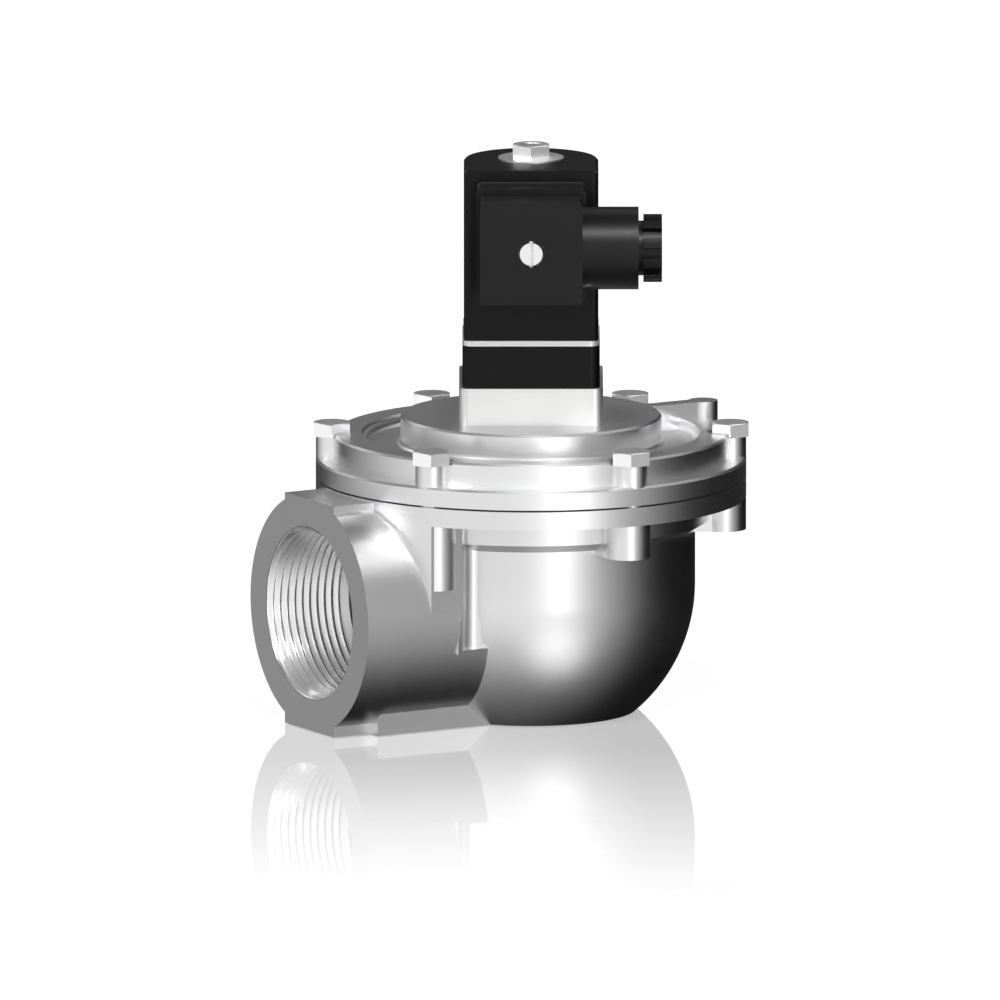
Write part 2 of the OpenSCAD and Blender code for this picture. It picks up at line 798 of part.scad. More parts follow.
module guide_tube() {
    color("#c4c7ca") difference() {
        union() {
            translate([0, 0, flange_seat_z])
                cylinder(h = tube_flange_h, d = tube_flange_d);
            translate([0, 0, flange_seat_z])
                cylinder(h = tube_top - flange_seat_z, r = tube_r);
        }
        translate([0, 0, flange_seat_z - 1])
            cylinder(h = coil_top, r = tube_ir);
    }
}

module fixed_core() {
    core_r = tube_ir - 0.03;
    ring_r = core_r - 1.6;
    color("#b3b6b9") difference() {
        union() {
            translate([0, 0, core_z]) cylinder(h = tube_top - core_z, r = core_r);
            translate([0, 0, tube_top]) cylinder(h = 1.5, r = tube_r);
            translate([0, 0, tube_top + 1])
                cylinder(h = nut_z + coil_nut_h - stud_short - tube_top - 1, d = stud_d);
        }
        translate([0, 0, core_z - eps])
            tube(shading_h + eps, ring_r + 0.8, ring_r);
    }
}

// Height of the copper ring let into the fixed core's face
shading_h = 1.5;

module shading_ring() {
    ring_r = tube_ir - 0.03 - 1.6;
    color("#c27a4a") translate([0, 0, core_z])
        tube(shading_h, ring_r + 0.8 - 0.02, ring_r + 0.02);
}

module plunger() {
    groove_r = plunger_d / 2 - 0.6;
    foot = 3;
    color("#9ea1a4") difference() {
        translate([0, 0, plunger_z]) cylinder(h = plunger_len, d = plunger_d);
        translate([0, 0, plunger_z - eps]) cylinder(h = seal_h, r = seal_r + 0.02);
        translate([0, 0, plunger_top - spring_bore_len])
            cylinder(h = spring_bore_len + 1, r = spring_bore_r);
        translate([0, 0, plunger_z + foot])
            tube(2, plunger_d, groove_r);
    }
}

// Rubber face let into the plunger's foot
seal_r = 4;
seal_h = 3;

module plunger_seal() {
    color("#232323") translate([0, 0, nozzle_top])
        cylinder(h = plunger_z - nozzle_top + seal_h - 0.05, r = seal_r);
}

module plunger_spring() {
    color("#8f9296")
        coil_spring(plunger_top - spring_bore_len + 0.02, core_z - 0.02,
            2.3, plunger_wire_d / 2, 7);
}

// Plan of the coil: a round back and a flat front with rounded corners
module coil_plan() {
    circle(coil_r);
    translate([-coil_r, -(coil_front - coil_corner_r)])
        square([coil_w, coil_front - coil_corner_r]);
    translate([-(coil_r - coil_corner_r), -coil_front])
        square([coil_w - 2 * coil_corner_r, coil_front]);
    for (x = [-1, 1])
        translate([x * (coil_r - coil_corner_r), -(coil_front - coil_corner_r)])
            circle(coil_corner_r, $fn = 32);
}

// Places of the three contact blades about the plug's centre
module at_blades() {
    for (a = [0, 180, 270]) rotate(a) translate([blade_ring, 0, 0]) children();
}

module coil_housing() {
    color("#191a1c") on_pilot() difference() {
        union() {
            translate([0, 0, coil_z]) linear_extrude(coil_h - edge) coil_plan();
            translate([0, 0, coil_top - edge - eps])
                linear_extrude(edge + eps, scale = (coil_r - edge) / coil_r)
                    coil_plan();
            facing_front(-coil_front + 1, plug_z)
                linear_extrude(pad_len + 1) rounded_square(skirt_w, skirt_h, 1.5);
        }
        translate([0, 0, coil_z - 1]) cylinder(h = coil_h + 2, r = coil_bore_r);
        translate([0, 0, can_z - seat_gap])
            cylinder(h = can_top - can_z + 2 * seat_gap, r = can_r + seat_gap);
        translate([0, 0, coil_z - eps])
            cylinder(h = can_z - coil_z + eps, r = can_r - 2);
        facing_front(-pad_front + screw_hole_len, plug_z)
            cylinder(h = screw_hole_len + 1, r = screw_r + hole_gap);
        facing_front(-pad_front + blade_root, plug_z) at_blades()
            cube([blade_t + 0.1, blade_w + 0.1, 2 * blade_root + 2], center = true);
    }
}

// Steel can around the winding, closed by a pole ring at each end
module yoke_can() {
    color("#8b8e91") difference() {
        translate([0, 0, can_z]) cylinder(h = can_top - can_z, r = can_r);
        translate([0, 0, can_z - 1])
            cylinder(h = coil_top, r = coil_bore_r + bobbin_t + seat_gap);
        translate([0, 0, can_z + can_t])
            cylinder(h = can_top - can_z - 2 * can_t, r = can_r - can_t);
    }
}

module coil_bobbin() {
    z0 = can_z + can_t + seat_gap;
    z1 = can_top - can_t - seat_gap;
    r1 = can_r - can_t - seat_gap;
    color("#d9d4c4") rotate_extrude() polygon([
        [coil_bore_r, z0], [r1, z0], [r1, z0 + bobbin_t],
        [coil_bore_r + bobbin_t, z0 + bobbin_t],
        [coil_bore_r + bobbin_t, z1 - bobbin_t], [r1, z1 - bobbin_t],
        [r1, z1], [coil_bore_r, z1]
    ]);
}

module coil_winding() {
    z0 = can_z + can_t + seat_gap + bobbin_t + 0.05;
    z1 = can_top - can_t - seat_gap - bobbin_t - 0.05;
    color("#b5652f") translate([0, 0, z0])
        tube(z1 - z0, can_r - can_t - 0.8, coil_bore_r + bobbin_t + 0.05);
}

module yoke_plate() {
    color("#dcdedf") on_pilot(yoke_z) difference() {
        linear_extrude(yoke_h) rounded_square(yoke_w, yoke_w, corner_r);
        translate([0, 0, -1]) cylinder(h = yoke_h + 2, r = coil_bore_r);
    }
}

// Dished spring washer: its rim stands on the coil and its crown under the nut
module coil_washer() {
    r = coil_washer_d / 2;
    r_in = stud_d / 2 + 0.2;
    crown = coil_nut_af / 2 + 0.6;
    color("#d4d6d8") rotate_extrude() polygon([
        [r_in, coil_top + washer_rise], [crown, coil_top + washer_rise],
        [r - 1.2, coil_top], [r, coil_top], [r, coil_top + washer_t * 0.7],
        [crown + 0.3, nut_z], [r_in, nut_z]
    ]);
}

module coil_nut() {
    d = coil_nut_af / cos(30);
    crown = 0.5;
    color("#e6e7e9") on_pilot(nut_z) difference() {
        intersection() {
            rotate(30) cylinder(h = coil_nut_h, d = d, $fn = 6);
            union() {
                cylinder(h = coil_nut_h - crown, d = d + 1);
                translate([0, 0, coil_nut_h - crown - eps])
                    cylinder(h = crown + eps, d1 = d + 0.6, d2 = coil_nut_af - 0.4);
            }
        }
        translate([0, 0, -1]) cylinder(h = coil_nut_h + 2, d = stud_d + 0.1);
    }
}

module terminal_blades() {
    color("#cfd1d3") on_pilot() facing_front(-pad_front + blade_root, plug_z)
        at_blades() translate([-blade_t / 2, -blade_w / 2, -1])
            cube([blade_t, blade_w, blade_len + 1]);
}

module plug_gasket() {
    color("#26282a") on_pilot() facing_front(-pad_front, plug_z)
        linear_extrude(gasket_t) difference() {
            rounded_square(skirt_w, skirt_h, 1.5);
            circle(screw_r + 0.6, $fn = 32);
            at_blades() square([blade_t + 1, blade_w + 1], center = true);
        }
}

// Plug screw: radius, depth of its head below the plug's front, and the hole in the
// coil's pad with the room beyond the screw's tip
screw_r = 1.5;
screw_sink = 0.5;
screw_head_h = 2.2;
screw_hole_len = 8;
screw_tip_gap = 0.5;

module plug_shell() {
    inner_w = plug_w - 2 * plug_wall;
    inner_h = plug_h - 2 * plug_wall;
    depth = plug_front - gasket_front;
    roof = 5;
    color("#1c1d1f") on_pilot() difference() {
        union() {
            facing_front(-gasket_front, plug_z) {
                linear_extrude(skirt_len) rounded_square(skirt_w, skirt_h, 1.5);
                linear_extrude(depth) rounded_square(plug_w, plug_h, 1);
            }
            along_gland(plug_w / 2 - 4)
                cylinder(h = gland_reach - plug_w / 2 + 4, r = gland_r);
        }
        facing_front(-gasket_front + 1, plug_z)
            linear_extrude(depth - roof + 1)
                rounded_square(inner_w, inner_h, 1);
        facing_front(-plug_front + roof + 1, plug_z)
            cylinder(h = roof + 2, r = screw_r + hole_gap);
        facing_front(-plug_front + screw_sink + screw_head_h + seal_t, plug_z)
            cylinder(h = roof, r = plug_screw_head_d / 2 + hole_gap);
        along_gland(gland_stop) cylinder(h = gland_reach, r = gland_bore_r);
        along_gland(plug_w / 2 - plug_wall - 1)
            cylinder(h = gland_reach, r = cable_bore_r);
    }
}

module terminal_block() {
    w = plug_w - 2 * plug_wall - 2 * seat_gap;
    h = plug_h - 2 * plug_wall - 2 * seat_gap;
    color("#3f4246") on_pilot() facing_front(-gasket_front, plug_z)
        difference() {
            linear_extrude(block_len) rounded_square(w, h, 1);
            translate([0, 0, -1]) cylinder(h = block_len + 2, r = screw_r + 0.3);
            at_blades() translate([0, 0, blade_len / 2])
                cube([blade_t + 0.3, blade_w + 0.3, blade_len + 2], center = true);
            for (a = [0, 180, 270]) rotate(a) translate([blade_ring + 1, 0, block_len])
                cylinder(h = 5, r = 1.8, center = true, $fn = 32);
        }
}

// Soft washer under the plug screw's head
seal_t = 1;

module plug_screw() {
    head_z = -plug_front + screw_sink + screw_head_h;
    reach = screw_hole_len - pad_front - screw_tip_gap - head_z;
    color("#e9eaec") on_pilot() facing_front(head_z, plug_z) difference() {
        union() {
            cylinder(h = screw_head_h - 0.5, d = plug_screw_head_d);
            translate([0, 0, screw_head_h - 0.5 - eps])
                cylinder(h = 0.5 + eps, d1 = plug_screw_head_d,
                    d2 = plug_screw_head_d - 1);
            translate([0, 0, -reach]) cylinder(h = reach + eps, r = screw_r);
        }
        translate([-0.5, -plug_screw_head_d, screw_head_h - 1])
            cube([1, 2 * plug_screw_head_d, 2]);
    }
}

module screw_seal() {
    color("#2a2a2a") on_pilot()
        facing_front(-plug_front + screw_sink + screw_head_h + seal_t, plug_z)
            tube(seal_t, plug_screw_head_d / 2 - 0.2, screw_r + hole_gap);
}

module gland_screw() {
    head_x = gland_reach + gland_head_gap;
    thread_x = gland_stop + grommet_len + gland_washer_t;
    head_r = gland_head_d / 2;
    rib = 2 * PI * head_r / gland_ribs / 2;
    color("#1a1b1d") on_pilot() difference() {
        union() {
            along_gland(thread_x)
                cylinder(h = head_x - thread_x + eps, r = gland_bore_r - hole_gap);
            along_gland(head_x) {
                cylinder(h = gland_head_len, r = head_r - 1.4);
                intersection() {
                    cylinder(h = gland_head_len, r = head_r);
                    for (i = [0:gland_ribs - 1]) rotate(i * 360 / gland_ribs)
                        translate([0, -rib / 2, 0])
                            cube([head_r + 1, rib, gland_head_len]);
                }
            }
        }
        along_gland(thread_x - 1)
            cylinder(h = gland_reach, r = cable_bore_r);
    }
}

module gland_washer() {
    color("#9fa2a5") on_pilot() along_gland(gland_stop + grommet_len)
        tube(gland_washer_t, gland_bore_r - 0.2, cable_bore_r + 0.2);
}

module gland_grommet() {
    color("#222324") on_pilot() along_gland(gland_stop)
        tube(grommet_len, gland_bore_r - 0.05, cable_bore_r - 0.3);
}

valve_body();
cover();
cover_bolts();
membrane();
valve_disc();
top_plate();
centre_rivet();
main_spring();
pilot_base();
base_seal();
clamp_block();
clamp_screws();
guide_tube();
tube_seal();
fixed_core();
shading_ring();
plunger();
plunger_seal();
plunger_spring();
coil_housing();
coil_bobbin();
coil_winding();
yoke_can();
yoke_plate();
coil_washer();
coil_nut();
terminal_blades();
plug_gasket();
plug_shell();
terminal_block();
plug_screw();
screw_seal();
gland_screw();
gland_washer();
gland_grommet();
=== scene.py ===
"""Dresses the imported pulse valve: materials, threads, springs, membrane, camera, floor and light."""
import math

import bpy
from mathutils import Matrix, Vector


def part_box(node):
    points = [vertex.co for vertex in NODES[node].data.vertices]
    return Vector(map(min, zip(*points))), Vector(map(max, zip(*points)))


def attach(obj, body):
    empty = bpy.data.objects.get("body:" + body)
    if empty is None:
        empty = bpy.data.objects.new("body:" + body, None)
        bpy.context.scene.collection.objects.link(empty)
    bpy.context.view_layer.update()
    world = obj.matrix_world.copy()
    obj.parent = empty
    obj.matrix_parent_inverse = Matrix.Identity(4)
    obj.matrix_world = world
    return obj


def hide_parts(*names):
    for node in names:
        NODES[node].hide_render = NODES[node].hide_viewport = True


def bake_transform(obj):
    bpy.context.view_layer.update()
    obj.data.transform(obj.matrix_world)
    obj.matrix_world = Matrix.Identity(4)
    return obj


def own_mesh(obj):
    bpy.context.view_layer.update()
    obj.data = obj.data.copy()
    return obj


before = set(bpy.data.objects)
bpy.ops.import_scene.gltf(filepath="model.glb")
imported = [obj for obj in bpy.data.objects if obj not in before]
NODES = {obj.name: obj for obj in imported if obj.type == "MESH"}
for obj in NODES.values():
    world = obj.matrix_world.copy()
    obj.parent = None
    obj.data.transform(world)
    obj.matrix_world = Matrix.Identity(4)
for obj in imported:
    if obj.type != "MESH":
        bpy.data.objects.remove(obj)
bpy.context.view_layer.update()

MM = 0.001


# Materials

# Nearly all values of a noise lie between these two
NOISE_SPAN = (0.3, 0.7)
NOISE_ROUGHNESS = 0.55
BROAD_DETAIL = 2.0
FINE_DETAIL = 4.0
# How much machining lines waver, and how strongly they show
LINE_WAVER = 0.4
LINE_STRENGTH = 0.5


def ramp(tree, source, low, high):
    """A colour between low and high, driven by a noise."""
    made = tree.nodes.new("ShaderNodeValToRGB")
    for element, position, colour in zip(made.color_ramp.elements, NOISE_SPAN, (low, high)):
        element.position = position
        element.color = (*colour, 1)
    tree.links.new(source, made.inputs["Fac"])
    return made.outputs["Color"]


def spread(tree, source, low, high, at=NOISE_SPAN):
    """A value that goes from low to high while the source goes through the range at."""
    made = tree.nodes.new("ShaderNodeMapRange")
    made.inputs["From Min"].default_value = at[0]
    made.inputs["From Max"].default_value = at[1]
    made.inputs["To Min"].default_value = low
    made.inputs["To Max"].default_value = high
    tree.links.new(source, made.inputs["Value"])
    return made.outputs["Result"]


def noise(tree, coords, scale, detail, stretch=None):
    """Noise at a scale per metre, stretched along the axes where asked."""
    if stretch:
        mapping = tree.nodes.new("ShaderNodeMapping")
        mapping.inputs["Scale"].default_value = stretch
        tree.links.new(coords, mapping.inputs["Vector"])
        coords = mapping.outputs["Vector"]
    made = tree.nodes.new("ShaderNodeTexNoise")
    made.inputs["Scale"].default_value = scale
    made.inputs["Detail"].default_value = detail
    made.inputs["Roughness"].default_value = NOISE_ROUGHNESS
    tree.links.new(coords, made.inputs["Vector"])
    return made.outputs["Fac"]


def machining(tree, coords, kind, direction, scale):
    """Fine parallel bands, or rings round an axis, at a scale per metre."""
    wave = tree.nodes.new("ShaderNodeTexWave")
    wave.wave_type = kind
    if kind == "RINGS":
        wave.rings_direction = direction
    else:
        wave.bands_direction = direction
    wave.inputs["Scale"].default_value = scale
    wave.inputs["Distortion"].default_value = LINE_WAVER
    tree.links.new(coords, wave.inputs["Vector"])
    return wave.outputs["Fac"]


def bump(tree, height, strength, depth, under=None):
    """The normal that a height gives, laid over another normal where there is one."""
    made = tree.nodes.new("ShaderNodeBump")
    made.inputs["Strength"].default_value = strength
    made.inputs["Distance"].default_value = depth
    tree.links.new(height, made.inputs["Height"])
    if under:
        tree.links.new(under, made.inputs["Normal"])
    return made.outputs["Normal"]


def surface(name, colour, rough, metallic=0.0, tint=0.06, rough_spread=0.05,
            grain=(900, 0.5, 0.00004), broad=40, specular=0.5, stretch=None, lines=None):
    """One finish: a broad drift of tone, a fine grain in bump and roughness, and lines where asked.

    tint is the share by which the tone drifts up and down, and broad is the scale of that drift.
    grain is (scale, bump strength, bump depth), and lines is (kind, direction, scale, bump depth).
    Scales are per metre and depths are in metres.
    """
    material = bpy.data.materials.new(name)
    material.use_nodes = True
    tree = material.node_tree
    shader = tree.nodes["Principled BSDF"]
    coords = tree.nodes.new("ShaderNodeTexCoord").outputs["Object"]
    low = tuple(channel * (1 - tint) for channel in colour)
    high = tuple(min(1, channel * (1 + tint)) for channel in colour)
    tone = ramp(tree, noise(tree, coords, broad, BROAD_DETAIL), low, high)
    tree.links.new(tone, shader.inputs["Base Color"])
    grain_scale, grain_strength, grain_depth = grain
    fine = noise(tree, coords, grain_scale, FINE_DETAIL, stretch)
    gloss = spread(tree, fine, rough - rough_spread, rough + rough_spread)
    tree.links.new(gloss, shader.inputs["Roughness"])
    normal = bump(tree, fine, grain_strength, grain_depth)
    if lines:
        kind, direction, scale, depth = lines
        grooves = machining(tree, coords, kind, direction, scale)
        normal = bump(tree, grooves, LINE_STRENGTH, depth, under=normal)
    tree.links.new(normal, shader.inputs["Normal"])
    shader.inputs["Metallic"].default_value = metallic
    shader.inputs["Specular IOR Level"].default_value = specular
    return material


def dress(names, material):
    """Puts one material on CAD nodes."""
    for name in names:
        data = NODES[name].data
        data.materials.clear()
        data.materials.append(material)


CAST = surface("cast_aluminium", (0.74, 0.74, 0.745), 0.35, metallic=1.0, tint=0.025,
               grain=(1300, 0.3, 0.000012), broad=25, rough_spread=0.03)
COVER_CAST = surface("turned_casting", (0.76, 0.76, 0.765), 0.35, metallic=1.0, tint=0.02,
                     grain=(1300, 0.3, 0.00001), broad=25, rough_spread=0.03)
ZINC = surface("bright_zinc", (0.95, 0.95, 0.955), 0.36, metallic=0.95, tint=0.02,
               grain=(1500, 0.2, 0.000004), broad=150, rough_spread=0.03)
SATIN = surface("satin_base", (0.71, 0.71, 0.705), 0.38, metallic=0.92, tint=0.015,
                grain=(1800, 0.3, 0.000008), broad=60, rough_spread=0.03)
BLACK_RESIN = surface("black_resin", (0.0045, 0.0045, 0.005), 0.42, tint=0.2,
                      grain=(2600, 0.3, 0.00001), broad=60, specular=0.15)
BLACK_BLOCK = surface("black_block", (0.004, 0.004, 0.0045), 0.38, tint=0.2,
                      grain=(2200, 0.3, 0.00001), broad=60, specular=0.15)
BLACK_PLUG = surface("black_polyamide", (0.0045, 0.0045, 0.005), 0.4, tint=0.2,
                     grain=(3000, 0.3, 0.00001), broad=60, specular=0.21)
INSERT = surface("grey_insert", (0.05, 0.05, 0.055), 0.45, tint=0.1, broad=80)
STEEL = surface("satin_steel", (0.56, 0.57, 0.58), 0.32, metallic=1.0, tint=0.05,
                grain=(1500, 0.3, 0.00002), broad=90, lines=("RINGS", "Z", 900, 0.00001))
PLATE_STEEL = surface("bright_plate", (0.95, 0.95, 0.95), 0.36, metallic=0.4, tint=0.02,
                      grain=(1500, 0.3, 0.000006), broad=80, rough_spread=0.03)
TUBE_STEEL = surface("drawn_tube", (0.64, 0.65, 0.66), 0.25, metallic=1.0, tint=0.04,
                     grain=(1500, 0.3, 0.00002), stretch=(1, 1, 0.1))
SPRING = surface("spring_wire", (0.5, 0.51, 0.53), 0.28, metallic=1.0, tint=0.06,
                 grain=(2500, 0.4, 0.00002))
OXIDE = surface("black_oxide", (0.06, 0.06, 0.065), 0.4, metallic=0.8, tint=0.1,
                grain=(2000, 0.5, 0.00002))
COPPER = surface("enamelled_copper", (0.62, 0.3, 0.14), 0.32, metallic=0.9, tint=0.1,
                 lines=("BANDS", "Z", 520, 0.0001))
RING_COPPER = surface("bare_copper", (0.72, 0.38, 0.22), 0.35, metallic=1.0, tint=0.06)
TIN = surface("tinned_brass", (0.78, 0.78, 0.76), 0.3, metallic=0.9, tint=0.05)
THREAD = surface("cut_thread", (0.88, 0.88, 0.885), 0.25, metallic=0.88, tint=0.02,
                 grain=(1500, 0.2, 0.000004), rough_spread=0.03)
RUBBER = surface("membrane_rubber", (0.022, 0.022, 0.022), 0.7, tint=0.2,
                 grain=(1400, 0.8, 0.00006), specular=0.3,
                 lines=("BANDS", "DIAGONAL", 700, 0.00004))
DISC_RUBBER = surface("disc_rubber", (0.035, 0.033, 0.03), 0.62, tint=0.15,
                      grain=(1400, 0.6, 0.00004))
SEAL = surface("seal_rubber", (0.015, 0.015, 0.015), 0.55, tint=0.2,
               grain=(1600, 0.5, 0.00003))
BOBBIN = surface("bobbin_plastic", (0.68, 0.64, 0.54), 0.5, tint=0.06)

dress(["valve_body"], CAST)
dress(["cover"], COVER_CAST)
dress(["cover_bolts", "coil_washer", "coil_nut"], ZINC)
dress(["pilot_base", "plug_screw"], SATIN)
dress(["yoke_plate"], PLATE_STEEL)
dress(["coil_housing"], BLACK_RESIN)
dress(["clamp_block"], BLACK_BLOCK)
dress(["plug_shell", "gland_screw"], BLACK_PLUG)
dress(["terminal_block"], INSERT)
dress(["top_plate", "centre_rivet", "fixed_core", "plunger", "yoke_can", "gland_washer"], STEEL)
dress(["guide_tube"], TUBE_STEEL)
dress(["main_spring", "plunger_spring"], SPRING)
dress(["clamp_screws"], OXIDE)
dress(["coil_winding"], COPPER)
dress(["shading_ring"], RING_COPPER)
dress(["terminal_blades"], TIN)
dress(["membrane"], RUBBER)
dress(["valve_disc"], DISC_RUBBER)
dress(["base_seal", "tube_seal", "plug_gasket", "screw_seal", "gland_grommet", "plunger_seal"], SEAL)
dress(["coil_bobbin"], BOBBIN)


# Pieces

def mesh_piece(name, points, faces, material, body):
    """A new smooth piece from points in millimetres. It rides on a body where one is given."""
    data = bpy.data.meshes.new(name)
    data.from_pydata([Vector(point) * MM for point in points], [], faces)
    data.validate()
    data.materials.append(material)
    for polygon in data.polygons:
        polygon.use_smooth = True
    made = bpy.data.objects.new(name, data)
    bpy.context.scene.collection.objects.link(made)
    if body:
        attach(made, body)
    return made


# Threads in the two ports

PITCH = 2.309
THREAD_ROOT = 23.8
THREAD_CREST = 22.42
# Depths from the port's face
THREAD_START = 0.15
INLET_THREAD_END = 24.6
OUTLET_THREAD_END = 21.8
# How far the crest may stand up, one pitch away from the thread's start and from its end
RUN_IN = 2.4
RUN_OUT = 1.4
# One pitch of the thread, as shares of the pitch and of the thread's height
THREAD_FORM = [(0.0, 0.0), (0.12, 0.0), (0.38, 1.0), (0.5, 1.04), (0.62, 1.0), (0.88, 0.0), (1.0, 0.0)]
STEPS_PER_TURN = 96
INLET_FACE_X = -70
INLET_Z = 32.5


def thread_points(place, end):
    """A pipe thread's face down to a depth. place turns radius, angle and depth into a point."""
    turns = math.ceil((end - THREAD_START) / PITCH) + 1
    columns = turns * STEPS_PER_TURN + 1
    points = []
    for column in range(columns):
        angle = 2 * math.pi * column / STEPS_PER_TURN
        for share, height in THREAD_FORM:
            depth = THREAD_START + PITCH * (column / STEPS_PER_TURN + share - 1)
            radius = THREAD_ROOT - (THREAD_ROOT - THREAD_CREST) * height
            clamped = min(max(depth, THREAD_START), end)
            run_in = THREAD_ROOT - (clamped - THREAD_START) / PITCH * RUN_IN
            run_out = THREAD_ROOT - (end - clamped) / PITCH * RUN_OUT
            points.append(place(max(radius, run_in, run_out), angle, clamped))
    row = len(THREAD_FORM)
    faces = []
    for column in range(columns - 1):
        for step in range(row - 1):
            corner = column * row + step
            faces.append((corner, corner + 1, corner + row + 1, corner + row))
    return points, faces


def outlet_place(radius, angle, depth):
    """A point in the outlet, which opens downwards on the valve's axis."""
    return (radius * math.cos(angle), radius * math.sin(angle), depth)


def inlet_place(radius, angle, depth):
    """A point in the inlet, which opens along -X."""
    return (INLET_FACE_X + depth, radius * math.cos(angle), INLET_Z + radius * math.sin(angle))


for name, place, end in (("inlet_thread", inlet_place, INLET_THREAD_END),
                         ("outlet_thread", outlet_place, OUTLET_THREAD_END)):
    points, faces = thread_points(place, end)
    piece = mesh_piece(name, points, faces, THREAD, "valve")


# Springs

WIRE_SIDES = 12
STEPS_PER_COIL = 48
# Height of the top plate's rim over the seat of the spring, and the spring's gap to that seat
PLATE_RIM = 1.2
SPRING_GAP = 0.02


def spring_piece(name, bottom, top, radius, wire, turns, replaced):
    """A round-wire spring that is pressed towards its upper end. wire is the wire's radius."""
    count = int(turns * STEPS_PER_COIL)
    pitch = (top - bottom - 2 * wire) / turns
    points = []
    for step in range(count + 1):
        angle = 2 * math.pi * step / STEPS_PER_COIL
        height = bottom + wire + pitch * step / STEPS_PER_COIL
        for side in range(WIRE_SIDES):
            roll = 2 * math.pi * side / WIRE_SIDES
            reach = radius + wire * math.cos(roll)
            z = height + wire * math.sin(roll)
            points.append((reach * math.cos(angle), reach * math.sin(angle), z))
    faces = []
    for step in range(count):
        ring = step * WIRE_SIDES
        above = ring + WIRE_SIDES
        for side in range(WIRE_SIDES):
            other = (side + 1) % WIRE_SIDES
            faces.append((ring + side, above + side, above + other, ring + other))
    faces.append(tuple(range(WIRE_SIDES)))
    faces.append(tuple(count * WIRE_SIDES + side for side in reversed(range(WIRE_SIDES))))
    piece = mesh_piece(name, points, faces, SPRING, "valve")
    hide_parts(replaced)
    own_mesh(piece)


plate_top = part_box("top_plate")[1].z / MM - PLATE_RIM
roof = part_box("main_spring")[1].z / MM
spring_piece("diaphragm_spring", plate_top + SPRING_GAP, roof, radius=11, wire=0.6, turns=2.5,
             replaced="main_spring")
low, high = (corner.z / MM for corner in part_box("plunger_spring"))
spring_piece("armature_spring", low, high, radius=2.3, wire=0.3, turns=7,
             replaced="plunger_spring")


# Membrane in sectors that run from the centre to the clamped rim

SECTORS = 24
PARTS_PER_SECTOR = 4
HALF_THICKNESS = 1.1
HOLE_RADIUS = 3.05
FLAT_RADIUS = 14.0
RIM_RADIUS = 47.8
# Heights of the middle surface
CENTRE_Z = 62.1
RIM_Z = 63.9
# The rolled convolution: where it begins and ends, how high it stands and in how many steps
ROLL_IN = 25.3
ROLL_OUT = 39.4
ROLL_HEIGHT = 3.2
ROLL_STEPS = 14


def membrane_section():
    """Closed section of the membrane, as radius and height."""
    middle = [(HOLE_RADIUS, CENTRE_Z), (FLAT_RADIUS, CENTRE_Z)]
    for step in range(ROLL_STEPS + 1):
        share = step / ROLL_STEPS
        lift = ROLL_HEIGHT * math.sin(math.pi * share) ** 2
        radius = ROLL_IN + (ROLL_OUT - ROLL_IN) * share
        middle.append((radius, CENTRE_Z + (RIM_Z - CENTRE_Z) * share + lift))
    middle.append((RIM_RADIUS, RIM_Z))
    lower = [(radius, height - HALF_THICKNESS) for radius, height in middle]
    upper = [(radius, height + HALF_THICKNESS) for radius, height in reversed(middle)]
    return lower + upper


section = membrane_section()
size = len(section)
for sector in range(SECTORS):
    mid = 2 * math.pi * sector / SECTORS
    width = 2 * math.pi / SECTORS
    points = []
    for part in range(PARTS_PER_SECTOR + 1):
        angle = mid - width / 2 + width * part / PARTS_PER_SECTOR
        points += [(radius * math.cos(angle), radius * math.sin(angle), z) for radius, z in section]
    faces = []
    for part in range(PARTS_PER_SECTOR):
        near = part * size
        far = near + size
        for step in range(size):
            other = (step + 1) % size
            faces.append((near + step, far + step, far + other, near + other))
    faces.append(tuple(reversed(range(size))))
    faces.append(tuple(PARTS_PER_SECTOR * size + step for step in range(size)))
    piece = mesh_piece(f"membrane_{sector:02d}", points, faces, RUBBER, None)
    if sector == 0:
        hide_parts("membrane")
    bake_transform(piece)


# Camera

# Ways are degrees from +X towards +Y. The camera stands in front of the valve, and the floor, the
# room and the lamps are laid out from the same way
FRONT_WAY = 240
CAMERA_RISE = 9.8
CAMERA_DISTANCE = 12
CLIP_END = 100
SENSOR = 36
# Metres that the frame covers at the valve, and the point at the frame's middle
FRAME_WIDTH = 0.274
AIM = Vector((-7.36, 4.25, 57.8)) * MM


def towards(way, rise=0.0):
    """The direction of a way and a rise above level, both in degrees."""
    turn = math.radians(way)
    lift = math.radians(rise)
    return Vector((math.cos(turn) * math.cos(lift), math.sin(turn) * math.cos(lift), math.sin(lift)))


def look_back(thing, away):
    """Turns a camera or lamp to look back along the direction in which it stands."""
    thing.rotation_euler = (-away).to_track_quat("-Z", "Y").to_euler()


camera_data = bpy.data.cameras.new("camera")
camera_data.sensor_width = SENSOR
camera_data.lens = SENSOR * CAMERA_DISTANCE / FRAME_WIDTH
camera_data.clip_end = CLIP_END
camera = bpy.data.objects.new("camera", camera_data)
camera_way = towards(FRONT_WAY, CAMERA_RISE)
camera.location = AIM + camera_way * CAMERA_DISTANCE
look_back(camera, camera_way)
bpy.context.scene.collection.objects.link(camera)
bpy.context.scene.camera = camera


# Floor with a soft shadow, partly real and partly painted shade, and a mirror image that fade away from
# the valve

# Distances here are in metres
FLOOR_REACH = 30
# The floor lies this far under the valve, so that the two never share a face
FLOOR_GAP = 0.0002
# Greys of the matt floor that takes the shadow, and the scale and detail of their drift
MATT_LOW = (0.15, 0.15, 0.15)
MATT_HIGH = (0.17, 0.17, 0.17)
MATT_SCALE = 60
MATT_DETAIL = 3.0
# The glow that brings the matt floor up to white, and the distances over which it rises. It is weaker near
# the valve, which paints a soft shade round the valve on the floor
GLOW_WITH_PAINTED_SHADE = (0.92, 1.0)
PAINTED_SHADE_REACH = (0.1, 0.3)
# What the floor throws back onto the valve
BOUNCE = (0.035, 0.035, 0.035, 1)
